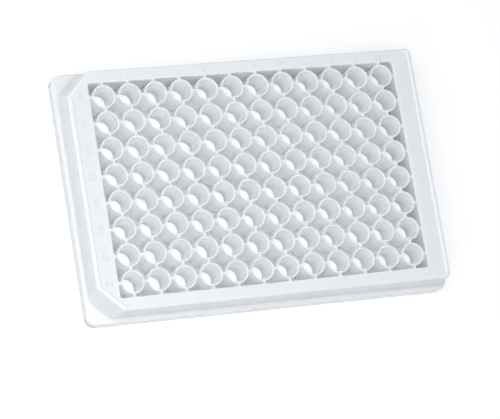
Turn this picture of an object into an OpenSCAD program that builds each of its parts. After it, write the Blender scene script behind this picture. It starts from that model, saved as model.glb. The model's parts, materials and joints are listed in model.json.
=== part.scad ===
// Ninety-six-well plate, injection moulded in one piece.
// X runs along the numbered columns, Y towards row A and Z up.
// The origin is at the centre of the footprint, on the bench.

/* [Footprint] */
// Length of the skirt at the bench, as laboratory robots expect it
plate_length = 127.76; // [127:0.01:160]
// Width of the skirt at the bench
plate_width = 85.48; // [85:0.01:110]
// Height from the bench to the rims of the wells
plate_height = 14.5; // [13:0.1:20]
// Radius of the skirt's four upright corners
skirt_corner_r = 3.18; // [2:0.01:5]

/* [Skirt and body] */
// Height of the ledge that runs round the top of the skirt
skirt_height = 4.45; // [3.2:0.05:6]
// Width of the ledge at the two short ends
end_ledge = 1.58; // [1:0.01:3]
// Width of the ledge along the two long sides
side_ledge = 1.74; // [1:0.01:3]
// Radius that rounds the ledge's outer edge
ledge_edge_r = 0.65; // [0.2:0.05:1]
// Lean of the body's walls, from the ledge up to the deck
body_draft = 0.4; // [0:0.05:1]
// Thickness of the skirt, the body's walls and the deck
shell_wall = 1.25; // [0.8:0.05:1.6]
// Rounding of the body's top edge
deck_edge_r = 0.6; // [0.2:0.05:1]
// Radius of the two square corners at deck height
deck_corner_r = 2; // [1:0.1:4]
// How far each keying corner, at rows A and H, is cut back at deck height
key_cut = 8; // [4:0.1:9]
// The same cut where the wall meets the ledge
key_cut_low = 5.9; // [3:0.1:9]
// Rounding of the keying corners where they meet the ledge
key_low_r = 4; // [1:0.1:6]
// Rounding of the keying corners at deck height
key_high_r = 0.8; // [0.2:0.1:2]

/* [Stacking beads] */
// Rise of the two end beads and of the well rims above the deck
rim_rise = 0.3; // [0.1:0.05:0.6]
// Width of an end bead at its foot
bead_foot = 1.7; // [1.2:0.05:2.5]
// Width of an end bead at its top
bead_top = 1.1; // [0.8:0.05:1.2]

/* [Wells] */
// Number of wells along the plate
columns = 12; // [2:1:12]
// Number of wells across the plate
rows = 8; // [2:1:8]
// Distance between the centres of neighbouring wells
pitch = 9; // [8.4:0.05:9.3]
// Bore of a well at its mouth
mouth_d = 6.7; // [5.5:0.01:7.3]
// Amount by which a well's bore narrows from its mouth to its flat floor
well_taper = 0.3; // [0.1:0.01:0.6]
// Depth of a well from its rim to its floor
well_depth = 10.7; // [8.5:0.1:11.4]
// Wall of a well at its rim
well_wall = 0.62; // [0.4:0.01:0.75]
// Width of the bevel inside the rim
rim_bevel = 0.15; // [0.05:0.01:0.3]

/* [Well block] */
// Thickness of the floor below the wells and of the web between them
web_thickness = 1.2; // [0.8:0.05:1.6]
// Width of the short ribs that tie each well to its neighbours
rib_width = 0.8; // [0.5:0.05:1.2]
// Gap between the outer wells and the frame around the block
edge_gap = 0.93; // [0.5:0.01:1.5]
// Thickness of the frame around the block
frame_wall = 1.1; // [0.8:0.05:1.4]
// Radius of the corners of the opening in the deck
opening_corner_r = 0.7; // [0.3:0.05:1.5]

/* [Gate mark] */
// Diameter of the shallow dimple left by the mould's gate
gate_d = 2.2; // [1:0.1:2.6]
// Depth of the dimple
gate_depth = 0.25; // [0.1:0.05:0.5]
// Distance of the dimple from the middle of the front side
gate_x = -5.2; // [-40:0.1:40]

/* [Hidden] */
$fn = 64;
// A cutting tool runs this far past the faces that it opens
over = 1;
// Thin slice that carries one level of an outline
slice = 0.01;
hull_fn = 32;

deck_z = plate_height - rim_rise;
deck_under_z = deck_z - shell_wall;
ledge_under_z = skirt_height - shell_wall;
floor_z = plate_height - well_depth;
web_under_z = floor_z - web_thickness;
rim_d = mouth_d + 2 * well_wall;
floor_d = mouth_d - well_taper;
opening_length = (columns - 1) * pitch + rim_d + 2 * edge_gap;
opening_width = (rows - 1) * pitch + rim_d + 2 * edge_gap;
ledge_half_x = plate_length / 2 - end_ledge;
ledge_half_y = plate_width / 2 - side_ledge;
deck_half_x = ledge_half_x - body_draft;
deck_half_y = ledge_half_y - body_draft;

// Corner circles [x, y, radius] of an outline whose two left corners are cut off at 45 degrees
function cut_corners(half_x, half_y, cut, square_r, cut_r) =
    let (back = cut_r * (sqrt(2) - 1))
    [
        [half_x - square_r, half_y - square_r, square_r],
        [half_x - square_r, square_r - half_y, square_r],
        [cut_r - half_x, half_y - cut - back, cut_r],
        [cut_r - half_x, cut + back - half_y, cut_r],
        [cut + back - half_x, half_y - cut_r, cut_r],
        [cut + back - half_x, cut_r - half_y, cut_r]
    ];

// Cones that carry the body's outline from one level up to the next, drawn in by low and then by high
module body_level(z, height, half_x, half_y, cut, cut_r, low = 0, high = 0) {
    for (c = cut_corners(half_x, half_y, cut, deck_corner_r, cut_r))
        translate([c[0], c[1], z])
            cylinder(r1 = c[2] - low, r2 = c[2] - high, h = height, $fn = hull_fn);
}

// The body's outer form: drafted walls, keying corners and a rounded top edge
module body_form() {
    facet = deck_edge_r * (1 - sqrt(0.5));
    hull() {
        body_level(ledge_under_z, shell_wall, ledge_half_x, ledge_half_y, key_cut_low, key_low_r);
        body_level(plate_height - deck_edge_r, deck_edge_r - facet, deck_half_x, deck_half_y,
            key_cut, key_high_r, 0, facet);
        body_level(plate_height - facet, facet, deck_half_x, deck_half_y,
            key_cut, key_high_r, facet, deck_edge_r);
    }
}

// The hollow inside the body, one wall thickness in from its faces
module body_hollow() {
    hull() {
        body_level(-over / 2, skirt_height, ledge_half_x, ledge_half_y, key_cut_low, key_low_r,
            shell_wall, shell_wall);
        body_level(deck_under_z - over, over, deck_half_x - shell_wall, deck_half_y - shell_wall,
            key_cut - shell_wall * (2 - sqrt(2)), key_high_r);
    }
}

// Slab with upright rounded corners whose top edge is rounded to a true quarter circle
module rounded_slab(length, width, height, corner_r, edge_r) {
    module half_section(reach) {
        square([reach, height - edge_r]);
        square([reach - edge_r, height]);
        translate([reach - edge_r, height - edge_r]) circle(edge_r);
    }
    for (x = [-1, 1], y = [-1, 1])
        translate([x * (length / 2 - corner_r), y * (width / 2 - corner_r), 0])
            rotate_extrude() half_section(corner_r);
    for (side = [0, 1], turn = [0, 180]) {
        run = side == 0 ? width : length;
        reach = side == 0 ? length / 2 : width / 2;
        rotate([0, 0, turn + 90 * side])
            translate([0, run / 2 - corner_r, 0])
                rotate([90, 0, 0])
                    linear_extrude(run - 2 * corner_r) half_section(reach);
    }
}

// Rectangle with rounded corners
module rounded_outline(length, width, r) {
    square([length - 2 * r, width], center = true);
    square([length, width - 2 * r], center = true);
    for (x = [-1, 1], y = [-1, 1])
        translate([x * (length / 2 - r), y * (width / 2 - r)]) circle(r);
}

// Places its children at the centre of every well
module at_wells() {
    for (i = [0:columns - 1], j = [0:rows - 1])
        translate([(i - (columns - 1) / 2) * pitch, (j - (rows - 1) / 2) * pitch]) children();
}

// Recess that lowers the deck between the end beads and lets them follow the keying corners
module deck_recess() {
    module level(z, height, inset) {
        x = deck_half_x - inset;
        y = deck_half_y + over;
        cut = deck_half_x + deck_half_y - key_cut - inset * sqrt(2);
        translate([0, 0, z])
            linear_extrude(height)
                polygon([[x, y], [y - cut, y], [-x, cut - x], [-x, x - cut], [y - cut, -y], [x, -y]]);
    }
    hull() {
        level(deck_z, slice, bead_foot);
        level(plate_height, over, bead_top);
    }
}

// Open space between the wells: the opening less the wells and their ribs
module well_gaps() {
    difference() {
        rounded_outline(opening_length, opening_width, opening_corner_r);
        at_wells() circle(d = rim_d);
        for (i = [0:columns - 1])
            translate([(i - (columns - 1) / 2) * pitch, 0])
                square([rib_width, opening_width], center = true);
        for (j = [0:rows - 1])
            translate([0, (j - (rows - 1) / 2) * pitch])
                square([opening_length, rib_width], center = true);
    }
}

// Flat-bottomed, slightly tapered bore with a bevelled mouth
module well_bore() {
    mouth_r = mouth_d / 2;
    rotate_extrude()
        polygon([
            [0, floor_z],
            [floor_d / 2, floor_z],
            [mouth_r, plate_height - rim_bevel],
            [mouth_r + rim_bevel, plate_height],
            [mouth_r + rim_bevel, plate_height + over],
            [0, plate_height + over]
        ]);
}

// Skirt with its ledge, and the hollow body that stands on it
module shell() {
    difference() {
        union() {
            rounded_slab(plate_length, plate_width, skirt_height, skirt_corner_r, ledge_edge_r);
            body_form();
        }
        body_hollow();
        translate([0, 0, -over])
            linear_extrude(ledge_under_z + over)
                rounded_outline(plate_length - 2 * shell_wall, plate_width - 2 * shell_wall,
                    skirt_corner_r - shell_wall);
        deck_recess();
        translate([gate_x, gate_depth - plate_width / 2, gate_d / 2 + shell_wall / 2])
            rotate([90, 0, 0]) cylinder(d = gate_d, h = over);
    }
}

// Solid block that the wells and the gaps between them are opened in
module well_block() {
    translate([0, 0, web_under_z])
        linear_extrude(deck_z - web_under_z)
            rounded_outline(opening_length + 2 * frame_wall, opening_width + 2 * frame_wall,
                opening_corner_r + frame_wall);
    at_wells() translate([0, 0, web_under_z]) cylinder(d = rim_d, h = plate_height - web_under_z);
}

module plate() {
    color("gainsboro")
        difference() {
            union() {
                shell();
                well_block();
            }
            translate([0, 0, floor_z]) linear_extrude(plate_height + over - floor_z) well_gaps();
            at_wells() well_bore();
        }
}

plate();
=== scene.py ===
import json
import math
import bmesh
import bpy
from mathutils import Matrix, Vector
from mathutils.geometry import delaunay_2d_cdt

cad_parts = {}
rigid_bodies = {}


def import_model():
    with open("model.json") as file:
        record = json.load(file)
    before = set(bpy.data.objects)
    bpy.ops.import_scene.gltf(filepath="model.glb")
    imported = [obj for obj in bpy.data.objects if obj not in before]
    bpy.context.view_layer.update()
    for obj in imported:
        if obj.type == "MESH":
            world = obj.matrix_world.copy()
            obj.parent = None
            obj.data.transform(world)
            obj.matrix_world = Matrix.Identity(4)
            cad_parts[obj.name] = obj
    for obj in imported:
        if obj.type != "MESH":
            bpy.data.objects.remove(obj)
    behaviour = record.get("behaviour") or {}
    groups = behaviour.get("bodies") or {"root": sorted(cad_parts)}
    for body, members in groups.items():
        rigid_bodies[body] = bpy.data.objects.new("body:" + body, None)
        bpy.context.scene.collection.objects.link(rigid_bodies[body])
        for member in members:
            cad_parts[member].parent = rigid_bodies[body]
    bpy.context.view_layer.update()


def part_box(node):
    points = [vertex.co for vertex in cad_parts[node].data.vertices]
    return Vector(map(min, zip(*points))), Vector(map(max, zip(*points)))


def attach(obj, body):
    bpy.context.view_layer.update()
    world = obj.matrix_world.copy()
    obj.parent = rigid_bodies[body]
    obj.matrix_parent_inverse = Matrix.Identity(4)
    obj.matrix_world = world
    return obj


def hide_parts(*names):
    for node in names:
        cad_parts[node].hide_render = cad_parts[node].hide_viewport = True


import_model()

# ---------------------------------------------------------------------------------------------
# Camera. It stands beyond the end with the row letters and looks steeply down on the plate,
# through a long lens, turned so that the plate lies across the picture.
camera = bpy.data.objects.new("camera", bpy.data.cameras.new("camera"))
bpy.context.scene.collection.objects.link(camera)
camera.location = (-0.30205, -0.19460, 0.82955)
camera.rotation_euler = [math.radians(turn) for turn in (15.1219, -17.7507, -9.7906)]
camera.data.sensor_width = 36.0
camera.data.lens = 192.32
camera.data.clip_start = 0.01
bpy.context.scene.camera = camera

# ---------------------------------------------------------------------------------------------
# Well block. Ninety-six chimney wells stand on one web of plastic, tied to each other and to the
# frame round them by short ribs. All of it is moulded in one shot with the shell. Sizes in mm.
plate_low, plate_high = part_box("plate")
plate_length, plate_width, plate_height = [1000 * side for side in plate_high - plate_low]
columns, rows, pitch = 12, 8, 9.0
mouth_r, floor_r, rim_r = 3.35, 3.20, 3.97
well_depth, rim_rise, web_thickness = 10.7, 0.3, 1.2
lip_in, lip_out, heel_r = 0.20, 0.14, 0.10
under_window_r = 3.9
rib_half, rib_blend_r, rib_edge_r = 0.40, 0.35, 0.14
gap_heel_r, edge_gap, opening_corner_r = 0.28, 0.93, 0.7
tube_steps, blend_steps, corner_steps = 8, 3, 4
same_place, weld_gap = 1e-6, 1e-4
deck_z = plate_height - rim_rise
floor_z = plate_height - well_depth
web_z = floor_z - web_thickness
wall_reach = rim_r + edge_gap

plastic = bpy.data.materials.new("white_polystyrene")
plastic.use_nodes = True
nodes, links = plastic.node_tree.nodes, plastic.node_tree.links
surface = nodes["Principled BSDF"]
surface.inputs["IOR"].default_value = 1.55
surface.inputs["Subsurface Weight"].default_value = 0.6
surface.inputs["Subsurface Radius"].default_value = (1.0, 1.0, 1.0)
surface.inputs["Subsurface Scale"].default_value = 0.003
place = nodes.new("ShaderNodeTexCoord")
cloud = nodes.new("ShaderNodeTexNoise")
cloud.inputs["Scale"].default_value = 110.0
cloud.inputs["Detail"].default_value = 3.0
links.new(place.outputs["Object"], cloud.inputs["Vector"])
tint = nodes.new("ShaderNodeMix")
tint.data_type = "RGBA"
tint.inputs["A"].default_value = (0.938, 0.942, 0.948, 1)
tint.inputs["B"].default_value = (0.952, 0.956, 0.960, 1)
links.new(cloud.outputs["Fac"], tint.inputs["Factor"])
links.new(tint.outputs["Result"], surface.inputs["Base Color"])
polish = nodes.new("ShaderNodeTexNoise")
polish.inputs["Scale"].default_value = 45.0
polish.inputs["Detail"].default_value = 4.0
links.new(place.outputs["Object"], polish.inputs["Vector"])
gloss = nodes.new("ShaderNodeMapRange")
gloss.inputs["From Min"].default_value = 0.3
gloss.inputs["From Max"].default_value = 0.7
gloss.inputs["To Min"].default_value = 0.12
gloss.inputs["To Max"].default_value = 0.24
links.new(polish.outputs["Fac"], gloss.inputs["Value"])
links.new(gloss.outputs["Result"], surface.inputs["Roughness"])
grain = nodes.new("ShaderNodeTexNoise")
grain.inputs["Scale"].default_value = 2600.0
grain.inputs["Detail"].default_value = 2.0
links.new(place.outputs["Object"], grain.inputs["Vector"])
relief = nodes.new("ShaderNodeBump")
relief.inputs["Strength"].default_value = 0.25
relief.inputs["Distance"].default_value = 0.00002
links.new(grain.outputs["Fac"], relief.inputs["Height"])
links.new(relief.outputs["Normal"], surface.inputs["Normal"])

polished_plastic = plastic.copy()
polished_plastic.name = "polished_polystyrene"
polished_plastic.node_tree.nodes[gloss.name].inputs["To Min"].default_value = 0.03
polished_plastic.node_tree.nodes[gloss.name].inputs["To Max"].default_value = 0.08
polished_plastic.node_tree.nodes[relief.name].inputs["Strength"].default_value = 0.05

clear_plastic = bpy.data.materials.new("clear_polystyrene")
clear_plastic.use_nodes = True
nodes, links = clear_plastic.node_tree.nodes, clear_plastic.node_tree.links
surface = nodes["Principled BSDF"]
surface.inputs["Base Color"].default_value = (0.93, 0.955, 0.97, 1)
surface.inputs["Transmission Weight"].default_value = 1.0
surface.inputs["IOR"].default_value = 1.55
place = nodes.new("ShaderNodeTexCoord")
haze = nodes.new("ShaderNodeTexNoise")
haze.inputs["Scale"].default_value = 260.0
haze.inputs["Detail"].default_value = 3.0
links.new(place.outputs["Object"], haze.inputs["Vector"])
frost = nodes.new("ShaderNodeMapRange")
frost.inputs["From Min"].default_value = 0.3
frost.inputs["From Max"].default_value = 0.7
frost.inputs["To Min"].default_value = 0.06
frost.inputs["To Max"].default_value = 0.2
links.new(haze.outputs["Fac"], frost.inputs["Value"])
links.new(frost.outputs["Result"], surface.inputs["Roughness"])
ripple = nodes.new("ShaderNodeBump")
ripple.inputs["Strength"].default_value = 0.3
ripple.inputs["Distance"].default_value = 0.00006
links.new(haze.outputs["Fac"], ripple.inputs["Height"])
links.new(ripple.outputs["Normal"], surface.inputs["Normal"])


def arc(x, y, radius, start, end, steps):
    """Points of a circle's arc, from one angle to another in degrees."""
    angles = [math.radians(start + (end - start) * i / steps) for i in range(steps + 1)]
    return [(x + radius * math.cos(a), y + radius * math.sin(a)) for a in angles]


def strip(bm, lower, upper):
    """Faces between two rows of corners, which may share corners."""
    return [bm.faces.new(corners) for corners in zip(lower, lower[1:], upper[1:], upper)]


def gap_outline(reach_x, reach_y, wall_x, wall_y):
    """Edge of the gap in a quarter of a tile: points, directions into the gap, share of edge rounding."""
    blend = rim_r + rib_blend_r
    away = rib_half + rib_blend_r
    along = math.sqrt(blend * blend - away * away)
    lean = math.degrees(math.atan2(away, along))
    tube = [(p, Vector(p).normalized(), 0.0) for p in arc(0, 0, rim_r, lean, 90 - lean, tube_steps)]
    whole, fading = (1, 1, 1, 1), (1, 0.8, 0.45, 0)

    def blended(x, y, start, end, shares):
        points = arc(x, y, rib_blend_r, start, end, blend_steps)
        return [(p, (Vector((x, y)) - Vector(p)).normalized(), s) for p, s in zip(points, shares)]

    first = blended(along, away, 270, 180 + lean, fading)
    last = blended(away, along, 270 - lean, 180, fading[::-1])
    outline = first + tube[1:-1] + last
    if wall_x:
        outline = blended(reach_x - rib_blend_r, away, 360, 270, whole) + outline
    else:
        outline = [((reach_x, rib_half), Vector((0, 1)), 1)] + outline
    if wall_y:
        outline += blended(away, reach_y - rib_blend_r, 180, 90, whole)
    else:
        outline += [((rib_half, reach_y), Vector((1, 0)), 1)]
    if wall_x and wall_y:
        x, y = reach_x - opening_corner_r, reach_y - opening_corner_r
        corner = arc(x, y, opening_corner_r, 90, 0, corner_steps)
        outline += [(p, (Vector((x, y)) - Vector(p)).normalized(), 1) for p in corner] + outline[:1]
    elif wall_x:
        outline = [((reach_x, reach_y), Vector((-1, 0)), 1)] + outline
    elif wall_y:
        outline += [((reach_x, reach_y), Vector((0, -1)), 1)]
    return outline


def quarter(bm, window, bore, turn, reach_x, reach_y, wall_x, wall_y):
    """A quarter of a well's tile: bore, rim, half of two ribs, the gap between them, the underside."""
    cos, sin = ((1, 0), (0, 1), (-1, 0), (0, -1))[turn]

    def corner(x, y, z):
        return bm.verts.new((x * cos - y * sin, x * sin + y * cos, z))

    outline = gap_outline(reach_x, reach_y, wall_x, wall_y)
    on_tube = [i for i, (p, _, _) in enumerate(outline) if abs(Vector(p).length - rim_r) < same_place]
    first, last = on_tube[0], on_tube[-1]
    lean = math.degrees(math.atan2(*reversed(outline[first][0])))
    free = [lean + (90 - 2 * lean) * i / tube_steps for i in range(tube_steps + 1)]
    angles = [math.radians(a) for a in [0, lean / 2] + free + [90 - lean / 2, 90]]

    def ring(radius, z):
        return [corner(radius * math.cos(a), radius * math.sin(a), z) for a in angles]

    profile = [(floor_r - heel_r + heel_r * math.sin(a), floor_z + heel_r * (1 - math.cos(a)))
               for a in (0, math.pi / 4, math.pi / 2)]
    profile += [(mouth_r + lip_in * (1 - math.cos(a)), plate_height - lip_in * (1 - math.sin(a)))
                for a in (0, math.pi / 6, math.pi / 3, math.pi / 2)]
    profile += [(rim_r - lip_out * (1 - math.sin(a)), plate_height - lip_out * (1 - math.cos(a)))
                for a in (0, math.pi / 4, math.pi / 2)]
    profile += [(rim_r, deck_z)]
    rings = [ring(*p) for p in profile]
    lip_top = 6
    for step, (inner, outer) in enumerate(zip(rings, rings[1:])):
        for face in strip(bm, outer, inner):
            face[bore] = step < lip_top
    bm.faces.new([corner(0, 0, floor_z)] + rings[0])[window] = True

    def edge_line(offset, z):
        return [corner(p[0] + offset(s) * n.x, p[1] + offset(s) * n.y, z(s)) for p, n, s in outline]

    walls = []
    for a in (math.pi / 2, math.pi / 4, 0):
        walls.append(edge_line(lambda s: gap_heel_r * (1 - math.cos(a)),
                               lambda s: floor_z + gap_heel_r * (1 - math.sin(a))))
    for a in (0, math.pi / 4, math.pi / 2):
        walls.append(edge_line(lambda s: -rib_edge_r * s * (1 - math.cos(a)),
                               lambda s: deck_z - rib_edge_r * s * (1 - math.sin(a))))
    for lower, upper in zip(walls, walls[1:]):
        strip(bm, lower, upper)
    floor = list(reversed(walls[0]))
    if wall_x and wall_y:
        floor = floor[1:]
    elif not (wall_x or wall_y):
        floor.append(corner(reach_x, reach_y, floor_z))
    bm.faces.new(floor)

    top, rim = walls[-1], rings[-1]
    end_x = reach_x + (rib_edge_r if wall_x else 0)
    end_y = reach_y + (rib_edge_r if wall_y else 0)
    foot_corners, middle_corner = blend_steps + 1, 1
    before = blend_steps + (foot_corners if wall_x else middle_corner)
    after = blend_steps + (foot_corners if wall_y else middle_corner)
    first_rib = top[first - before:first + 1]
    last_rib = top[last:last + after + 1]
    bm.faces.new([rim[0], corner(end_x, 0, deck_z)] + first_rib + [rim[1]])
    bm.faces.new(last_rib + [corner(0, end_y, deck_z), rim[-1], rim[-2]])

    under = ring(under_window_r, web_z)
    bm.faces.new([corner(0, 0, web_z)] + under[::-1])[window] = True
    bm.faces.new(under + [corner(0, reach_y, web_z), corner(reach_x, reach_y, web_z),
                          corner(reach_x, 0, web_z)])


tiles = bpy.data.collections.new("well_tiles")
for side_y in range(3):
    for side_x in range(3):
        walls = (side_x == 2, side_y == 2, side_x == 0, side_y == 0)
        reaches = [wall_reach if wall else pitch / 2 for wall in walls]
        bm = bmesh.new()
        bm.faces.layers.bool.new("window")
        bm.faces.layers.bool.new("bore")
        window, bore = bm.faces.layers.bool["window"], bm.faces.layers.bool["bore"]
        for turn in range(4):
            after = (turn + 1) % 4
            quarter(bm, window, bore, turn, reaches[turn], reaches[after], walls[turn], walls[after])
        bmesh.ops.remove_doubles(bm, verts=bm.verts, dist=weld_gap)
        tile = bpy.data.meshes.new("well_tile")
        bm.to_mesh(tile)
        bm.free()
        tiles.objects.link(bpy.data.objects.new(f"well_tile_{side_x + 3 * side_y}", tile))

# The tiles are set out on a grid of well centres: corner, edge and inner tiles by where they fall.
tree = bpy.data.node_groups.new("well_block", "GeometryNodeTree")
tree.interface.new_socket("Geometry", in_out="OUTPUT", socket_type="NodeSocketGeometry")
sizes = {
    "Columns": ("NodeSocketInt", columns),
    "Rows": ("NodeSocketInt", rows),
    "Pitch": ("NodeSocketFloat", pitch)}
named = {}
for name, (kind, value) in sizes.items():
    named[name] = (tree.interface.new_socket(name, in_out="INPUT", socket_type=kind).identifier, value)
inputs = tree.nodes.new("NodeGroupInput")


def node(kind, **settings):
    """A node of the tree with its settings and, by socket name or number, its inputs."""
    made = tree.nodes.new(kind)
    links = settings.pop("links", {})
    for key, value in settings.items():
        setattr(made, key, value)
    for key, value in links.items():
        if isinstance(value, bpy.types.NodeSocket):
            tree.links.new(value, made.inputs[key])
        else:
            made.inputs[key].default_value = value
    return made


def math_node(operation, first, second):
    return node("ShaderNodeMath", operation=operation, links={0: first, 1: second}).outputs[0]


def side_of(coordinate, count):
    """0, 1 or 2 for a well that is first, inside or last along one direction."""
    reach = math_node("MULTIPLY", math_node("SUBTRACT", count, 2), inputs.outputs["Pitch"])
    edge = math_node("MULTIPLY", reach, 0.5)
    after = math_node("GREATER_THAN", coordinate, edge)
    before = math_node("LESS_THAN", coordinate, math_node("MULTIPLY", edge, -1))
    return math_node("ADD", math_node("SUBTRACT", 1, before), after)


def run_length(count):
    return math_node("MULTIPLY", math_node("SUBTRACT", count, 1), inputs.outputs["Pitch"])


def marked_faces(name):
    return node("GeometryNodeInputNamedAttribute", data_type="BOOLEAN", links={"Name": name}).outputs[0]


grid = node("GeometryNodeMeshGrid", links={
    "Size X": run_length(inputs.outputs["Columns"]), "Size Y": run_length(inputs.outputs["Rows"]),
    "Vertices X": inputs.outputs["Columns"], "Vertices Y": inputs.outputs["Rows"]})
place = node("ShaderNodeSeparateXYZ", links={0: node("GeometryNodeInputPosition").outputs[0]})
row_choice = math_node("MULTIPLY", side_of(place.outputs["Y"], inputs.outputs["Rows"]), 3)
choice = math_node("ADD", side_of(place.outputs["X"], inputs.outputs["Columns"]), row_choice)
kinds = node("GeometryNodeCollectionInfo", links={"Collection": tiles, "Separate Children": True})
wells = node("GeometryNodeInstanceOnPoints", links={
    "Points": grid.outputs["Mesh"], "Instance": kinds.outputs[0],
    "Pick Instance": True, "Instance Index": choice})
solid = node("GeometryNodeRealizeInstances", links={"Geometry": wells.outputs[0]})
white = node("GeometryNodeSetMaterial", links={"Geometry": solid.outputs[0], "Material": plastic})
polished = node("GeometryNodeSetMaterial", links={
    "Geometry": white.outputs[0], "Material": polished_plastic,
    "Selection": marked_faces("bore")})
clear = node("GeometryNodeSetMaterial", links={
    "Geometry": polished.outputs[0], "Material": clear_plastic,
    "Selection": marked_faces("window")})
node("NodeGroupOutput", links={0: clear.outputs[0]})

holder = bpy.data.objects.new("well_block", bpy.data.meshes.new("well_block"))
bpy.context.scene.collection.objects.link(holder)
modifier = holder.modifiers.new("wells", "NODES")
modifier.node_group = tree
for identifier, value in named.values():
    modifier[identifier] = value
evaluated = holder.evaluated_get(bpy.context.evaluated_depsgraph_get())
block = bpy.data.meshes.new_from_object(evaluated)
block.materials.pop(index=0)
bpy.data.objects.remove(holder)
for tile in list(tiles.objects):
    bpy.data.objects.remove(tile)
bpy.data.collections.remove(tiles)

# ---------------------------------------------------------------------------------------------
# Shell. A hollow body with two cut, keying corners stands on a stepped skirt, and two low beads on
# its end edges hold a stacked plate. The walls lean a little, so that the mould opens.
skirt_height, end_ledge, side_ledge = 4.45, 1.58, 1.74
skirt_corner_r, ledge_edge_r, foot_edge_r = 3.18, 0.65, 0.15
body_draft, shell_wall, frame_wall, body_foot_r = 0.4, 1.25, 1.1, 0.3
deck_edge_r, deck_corner_r = 0.6, 2.0
key_cut, key_cut_low, key_high_r, key_low_r = 8.0, 5.9, 0.8, 4.0
bead_top, bead_foot, bead_fade, bead_lead = 1.1, 1.7, 1.0, 1.0
round_steps, cut_steps, least_r = 6, 4, 0.05
ledge_x, ledge_y = plate_length / 2 - end_ledge, plate_width / 2 - side_ledge
deck_x, deck_y = ledge_x - body_draft, ledge_y - body_draft

bm = bmesh.new()
bm.from_mesh(block)
tile_gap, level_gap = 1e-3, 0.01
bmesh.ops.remove_doubles(bm, verts=bm.verts, dist=tile_gap)
open_edges = [e for e in bm.edges if e.is_boundary]
opening = [e for e in open_edges if e.verts[0].co.z > deck_z - level_gap]
under_block = [e for e in open_edges if e.verts[0].co.z < web_z + level_gap]


def body_ring(half_x, half_y, cut, cut_r, inset, level):
    """The body's outline, drawn in by inset. level turns a point's share of the bead into its height."""
    half_x, half_y = half_x - inset, half_y - inset
    cut -= inset * (2 - math.sqrt(2))
    square_r, cut_r = max(deck_corner_r - inset, least_r), max(cut_r - inset, least_r)
    back = cut_r * (math.sqrt(2) - 1)
    square_x, cut_x = half_x - square_r, cut + back - half_x
    square_y, cut_y = half_y - square_r, half_y - cut - back
    flat_right = deck_x - deck_corner_r - bead_fade
    flat_left = key_cut - deck_x + bead_fade + bead_lead
    points = [(p, 1) for p in arc(square_x, -square_y, square_r, -90, 0, round_steps)]
    points += [(p, 1) for p in arc(square_x, square_y, square_r, 0, 90, round_steps)]
    points += [((flat_right, half_y), 0), ((flat_left, half_y), 0)]
    points += [(p, 1) for p in arc(cut_x, half_y - cut_r, cut_r, 90, 135, cut_steps)]
    points += [(p, 1) for p in arc(cut_r - half_x, cut_y, cut_r, 135, 180, cut_steps)]
    points += [(p, 1) for p in arc(cut_r - half_x, -cut_y, cut_r, 180, 225, cut_steps)]
    points += [(p, 1) for p in arc(cut_x, cut_r - half_y, cut_r, 225, 270, cut_steps)]
    points += [((flat_left, -half_y), 0), ((flat_right, -half_y), 0)]
    return [bm.verts.new((x, y, level(share))) for (x, y), share in points]


def box_ring(half_x, half_y, radius, z):
    """A rectangle with rounded corners at height z."""
    points = []
    for x, y, start in ((1, -1, -90), (1, 1, 0), (-1, 1, 90), (-1, -1, 180)):
        points += arc(x * (half_x - radius), y * (half_y - radius), radius, start, start + 90, round_steps)
    return [bm.verts.new((x, y, z)) for x, y in points]


def skin(ring_list):
    """Faces from each closed ring to the next, turned outwards where the rings rise outside."""
    for lower, upper in zip(ring_list, ring_list[1:]):
        strip(bm, lower + lower[:1], upper + upper[:1])


def ring_edges(ring):
    return [bm.edges.get(pair) or bm.edges.new(pair) for pair in zip(ring, ring[1:] + ring[:1])]


def flat(edges, up, across=0, along=1):
    """Fills the flat face between edge loops. The two axes span it; up is 1 or -1 for its outer side."""
    corners = list(dict.fromkeys(corner for edge in edges for corner in edge.verts))
    place = {corner: i for i, corner in enumerate(corners)}
    pairs = [(place[edge.verts[0]], place[edge.verts[1]]) for edge in edges]
    points = [Vector((corner.co[across], corner.co[along])) for corner in corners]
    filled = delaunay_2d_cdt(points, pairs, [], 1, same_place)
    for triangle in filled[2]:
        x, y = sum((filled[0][i] for i in triangle), Vector((0, 0))) / 3
        crossed = 0
        for start, end in pairs:
            (ax, ay), (bx, by) = points[start], points[end]
            if (ay > y) != (by > y) and x < ax + (bx - ax) * (y - ay) / (by - ay):
                crossed += 1
        if crossed % 2:
            bm.faces.new([corners[filled[3][i][0]] for i in triangle[::up]])


def level_at(z):
    return lambda share: z


def deck_ring(inset, lift=1.0, drop=0.0):
    """A ring at the deck's edge: lift is the share of the bead's rise, drop lies below its top."""
    return body_ring(deck_x, deck_y, key_cut, key_high_r, inset,
                     lambda share: deck_z + share * rim_rise * lift - drop)


turns = [math.radians(15 * i) for i in range(7)]
outer = [body_ring(ledge_x, ledge_y, key_cut_low, key_low_r, body_foot_r * (math.sin(a) - 1),
                   level_at(skirt_height + body_foot_r * (1 - math.cos(a)))) for a in turns[::2]]
outer += [deck_ring(deck_edge_r * (1 - math.cos(a)), drop=deck_edge_r * (1 - math.sin(a))) for a in turns]
bead_slope = ((0.0, 1.0), (0.15, 0.95), (0.3, 0.8), (0.5, 0.5), (0.7, 0.2), (0.85, 0.05), (1.0, 0.0))
for across, lift in bead_slope:
    outer.append(deck_ring(bead_top + across * (bead_foot - bead_top), lift))
skin(outer)


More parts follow.
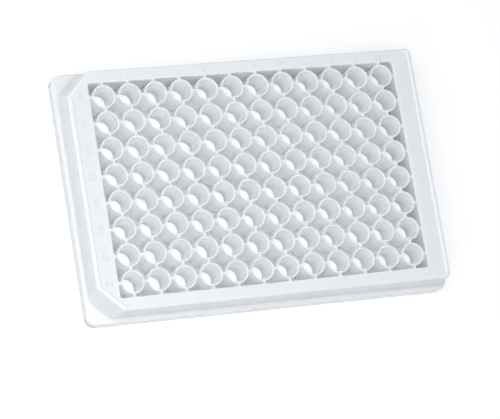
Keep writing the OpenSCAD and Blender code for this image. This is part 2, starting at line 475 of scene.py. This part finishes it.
# ---------------------------------------------------------------------------------------------
# Row letters and column numbers. They are raised a little from the deck, cut into the mould with a
# duller finish than the plastic round them. Their colour is painted darker, as painted shade that
# stands in for the shade along their raised edges.
letter_rise, letter_size, number_size = 0.20, 4.0, 2.5
letter_x, number_y = -57.5, 37.6
mark_edges = []
matt_painted_shade_plastic = bpy.data.materials.new("matt_polystyrene_painted_shade")
matt_painted_shade_plastic.use_nodes = True
nodes, links = matt_painted_shade_plastic.node_tree.nodes, matt_painted_shade_plastic.node_tree.links
surface = nodes["Principled BSDF"]
# Painted shade: a darker base colour than the deck's, standing in for the shade on the raised marks'
# edges.
surface.inputs["Base Color"].default_value = (0.79, 0.81, 0.835, 1)
surface.inputs["IOR"].default_value = 1.55
place = nodes.new("ShaderNodeTexCoord")
etched = nodes.new("ShaderNodeTexNoise")
etched.inputs["Scale"].default_value = 4000.0
links.new(place.outputs["Object"], etched.inputs["Vector"])
dull = nodes.new("ShaderNodeMapRange")
dull.inputs["To Min"].default_value = 0.4
dull.inputs["To Max"].default_value = 0.7
links.new(etched.outputs["Fac"], dull.inputs["Value"])
links.new(dull.outputs["Result"], surface.inputs["Roughness"])
block.materials.append(matt_painted_shade_plastic)
matt_painted_shade_slot = block.materials.find(matt_painted_shade_plastic.name)


def raised_mark(body, size, x, y):
    """Side walls and top of a character that the mould raises on the deck. Its foot stays open."""
    text = bpy.data.curves.new("mark", "FONT")
    text.body = body
    text.size = size
    text.align_x, text.align_y = "CENTER", "CENTER"
    text.resolution_u = 4
    text.extrude = letter_rise / 2
    holder = bpy.data.objects.new("mark", text)
    bpy.context.scene.collection.objects.link(holder)
    shape = bpy.data.meshes.new_from_object(holder.evaluated_get(bpy.context.evaluated_depsgraph_get()))
    bpy.data.objects.remove(holder)
    shape.transform(Matrix.Translation((x, y, deck_z + letter_rise / 2)))
    mark = bmesh.new()
    mark.from_mesh(shape)
    bmesh.ops.remove_doubles(mark, verts=mark.verts, dist=weld_gap)
    foot_z = deck_z + letter_rise / 2
    foot = [face for face in mark.faces if max(corner.co.z for corner in face.verts) < foot_z]
    bmesh.ops.delete(mark, geom=foot, context="FACES")
    # The marks' faces take the matt material with its painted shade.
    for face in mark.faces:
        face.material_index = matt_painted_shade_slot
    mark.to_mesh(shape)
    mark.free()
    before = set(bm.edges)
    bm.from_mesh(shape)
    mark_edges.extend(edge for edge in bm.edges if edge not in before and edge.is_boundary)
    bpy.data.meshes.remove(shape)


for row in range(rows):
    raised_mark("ABCDEFGH"[row], letter_size, letter_x, ((rows - 1) / 2 - row) * pitch)
for column in range(columns):
    raised_mark(str(column + 1), number_size, (column - (columns - 1) / 2) * pitch, number_y)
flat(opening + ring_edges(outer[-1]) + mark_edges, 1)


# ---------------------------------------------------------------------------------------------
# Skirt and underside. The skirt stands round the body's foot in a rounded step. The plastic was
# shot in at the small dimple on its front. Inside, the shell is hollow round the walled block.
half_x, half_y = plate_length / 2, plate_width / 2
gate_x, gate_z, gate_r, gate_depth = -5.2, 1.725, 1.1, 0.25
gate_steps, gate_step = 23, 15
quarter_turn = [math.radians(22.5 * i) for i in range(5)]
skirt = [box_ring(half_x - foot_edge_r, half_y - foot_edge_r, skirt_corner_r - foot_edge_r, 0)]
skirt += [box_ring(half_x, half_y, skirt_corner_r, foot_edge_r)]
skirt += [box_ring(half_x - ledge_edge_r * (1 - math.cos(a)), half_y - ledge_edge_r * (1 - math.cos(a)),
                   skirt_corner_r - ledge_edge_r * (1 - math.cos(a)),
                   skirt_height - ledge_edge_r * (1 - math.sin(a))) for a in quarter_turn]
skin(skirt)
flat(ring_edges(skirt[-1]) + ring_edges(outer[0]), 1)


def gate_ring(radius, depth):
    points = arc(gate_x, gate_z, radius, 0, gate_steps * gate_step, gate_steps)
    return [bm.verts.new((x, depth - half_y, z)) for x, z in points]


front = [skirt[1][-1], skirt[1][0], skirt[2][0], skirt[2][-1]]
bm.faces.remove(bm.faces.get(front))
dimple_profile = ((0.06, 0), (0, 0.05), (-0.05, gate_depth - 0.08), (-0.15, gate_depth))
dimple = [gate_ring(gate_r + wider, depth) for wider, depth in dimple_profile]
skin(dimple)
bm.faces.new(dimple[-1])
flat(ring_edges(front) + ring_edges(dimple[0]), 1, 0, 2)

inner_x, inner_y, inner_r = half_x - shell_wall, half_y - shell_wall, skirt_corner_r - shell_wall
inside = [box_ring(inner_x, inner_y, inner_r, skirt_height - shell_wall)]
inside += [box_ring(inner_x, inner_y, inner_r, foot_edge_r)]
inside += [box_ring(inner_x + foot_edge_r, inner_y + foot_edge_r, inner_r + foot_edge_r, 0)]
inside += [skirt[0]]
skin(inside)

hollow = [body_ring(deck_x, deck_y, key_cut, key_high_r, shell_wall + body_foot_r * (1 - math.sin(a)),
                    level_at(deck_z - shell_wall - body_foot_r * (1 - math.cos(a)))) for a in turns[::2]]
hollow += [body_ring(ledge_x, ledge_y, key_cut_low, key_low_r, shell_wall,
                     level_at(skirt_height - shell_wall))]
skin(hollow)
flat(ring_edges(hollow[-1]) + ring_edges(inside[0]), -1)

block_x = (columns - 1) * pitch / 2 + wall_reach + frame_wall
block_y = (rows - 1) * pitch / 2 + wall_reach + frame_wall
block_r = opening_corner_r + frame_wall
frame_walls = [box_ring(block_x - foot_edge_r, block_y - foot_edge_r, block_r - foot_edge_r, web_z)]
frame_walls += [box_ring(block_x, block_y, block_r, web_z + foot_edge_r)]
frame_walls += [box_ring(block_x, block_y, block_r, deck_z - shell_wall)]
skin(frame_walls)
flat(ring_edges(hollow[0]) + ring_edges(frame_walls[-1]), -1)
flat(under_block + ring_edges(frame_walls[0]), -1)

# Level faces, wide walls and the plane round the dimple stay flat, so that they don't shade as rounded.
bmesh.ops.remove_doubles(bm, verts=bm.verts, dist=weld_gap)
level_faces, wide_wall = 0.9999, 15.0
for face in bm.faces:
    on_front = face.calc_center_median().y < tile_gap - half_y
    face.smooth = not on_front and abs(face.normal.z) < level_faces and face.calc_area() < wide_wall
bm.to_mesh(block)
bm.free()
metres = 0.001
block.transform(Matrix.Scale(metres, 4))
plate = bpy.data.objects.new("moulded_plate", block)
bpy.context.scene.collection.objects.link(plate)
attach(plate, "root")
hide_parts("plate")

# ---------------------------------------------------------------------------------------------
# Bench and light. The plate lies on a plain white bench in an even pale tent. Broad round lamps
# stand above it, at its left end and in front, so that its left end is a little the brighter.
bpy.ops.mesh.primitive_plane_add(size=6.0)
bench = bpy.context.object
bench.name = "bench"
white = bpy.data.materials.new("white_bench")
white.use_nodes = True
nodes, links = white.node_tree.nodes, white.node_tree.links
shader = nodes["Principled BSDF"]
shader.inputs["Base Color"].default_value = (0.62, 0.62, 0.62, 1)
shader.inputs["Roughness"].default_value = 0.6
path = nodes.new("ShaderNodeLightPath")


def combined(operation, first, second):
    """The result of one math node, whose second input is a socket or a number."""
    step = nodes.new("ShaderNodeMath")
    step.operation = operation
    links.new(first, step.inputs[0])
    if isinstance(second, bpy.types.NodeSocket):
        links.new(second, step.inputs[1])
    else:
        step.inputs[1].default_value = second
    return step.outputs[0]


# The bench shows white to the camera, in gloss and through clear plastic. It has to be lit there by
# itself, because the plate stands over it, and that glow isn't let out onto the walls of the wells.
open_glow, window_glow = 0.48, 0.93
bare = combined("MAXIMUM", path.outputs["Is Camera Ray"], path.outputs["Is Glossy Ray"])
unscattered = combined("LESS_THAN", path.outputs["Diffuse Depth"], 1)
in_window = combined("MULTIPLY", path.outputs["Is Transmission Ray"], unscattered)
open_light = combined("MULTIPLY", bare, open_glow)
window_light = combined("MULTIPLY", in_window, window_glow)
glow = combined("MAXIMUM", open_light, window_light)
shader.inputs["Emission Color"].default_value = (1, 1, 1, 1)
links.new(glow, shader.inputs["Emission Strength"])
bench.data.materials.append(white)

tent = bpy.data.worlds.new("tent")
bpy.context.scene.world = tent
tent.use_nodes = True
daylight = (0.925, 0.96, 1.0)
sky = tent.node_tree.nodes["Background"]
sky.inputs["Color"].default_value = daylight + (1,)
sky.inputs["Strength"].default_value = 0.4


def softbox(name, azimuth, elevation, distance, size, power):
    """A round lamp that faces the plate. Angles in degrees, distance and size in metres."""
    lamp = bpy.data.lights.new(name, "AREA")
    lamp.shape = "DISK"
    lamp.size = size
    lamp.energy = power
    lamp.color = daylight
    holder = bpy.data.objects.new(name, lamp)
    bpy.context.scene.collection.objects.link(holder)
    turn, rise = math.radians(azimuth), math.radians(elevation)
    way = Vector((math.cos(turn) * math.cos(rise), math.sin(turn) * math.cos(rise), math.sin(rise)))
    holder.location = way * distance
    holder.rotation_euler = way.to_track_quat("Z", "Y").to_euler()
    holder.visible_camera = False


softbox("overhead", 0, 90, 0.6, 0.3, 0.34)
softbox("left_high", 180, 70, 0.35, 0.3, 0.42)
softbox("left_low", 150, 16, 0.6, 0.4, 0.5)
softbox("front_high", 270, 60, 0.6, 0.45, 0.66)
softbox("corner_mid", 225, 35, 0.6, 0.3, 0.6)
bpy.context.scene.cycles.max_bounces = 48
bpy.context.scene.cycles.diffuse_bounces = 32

bpy.context.scene.view_settings.view_transform = "Standard"
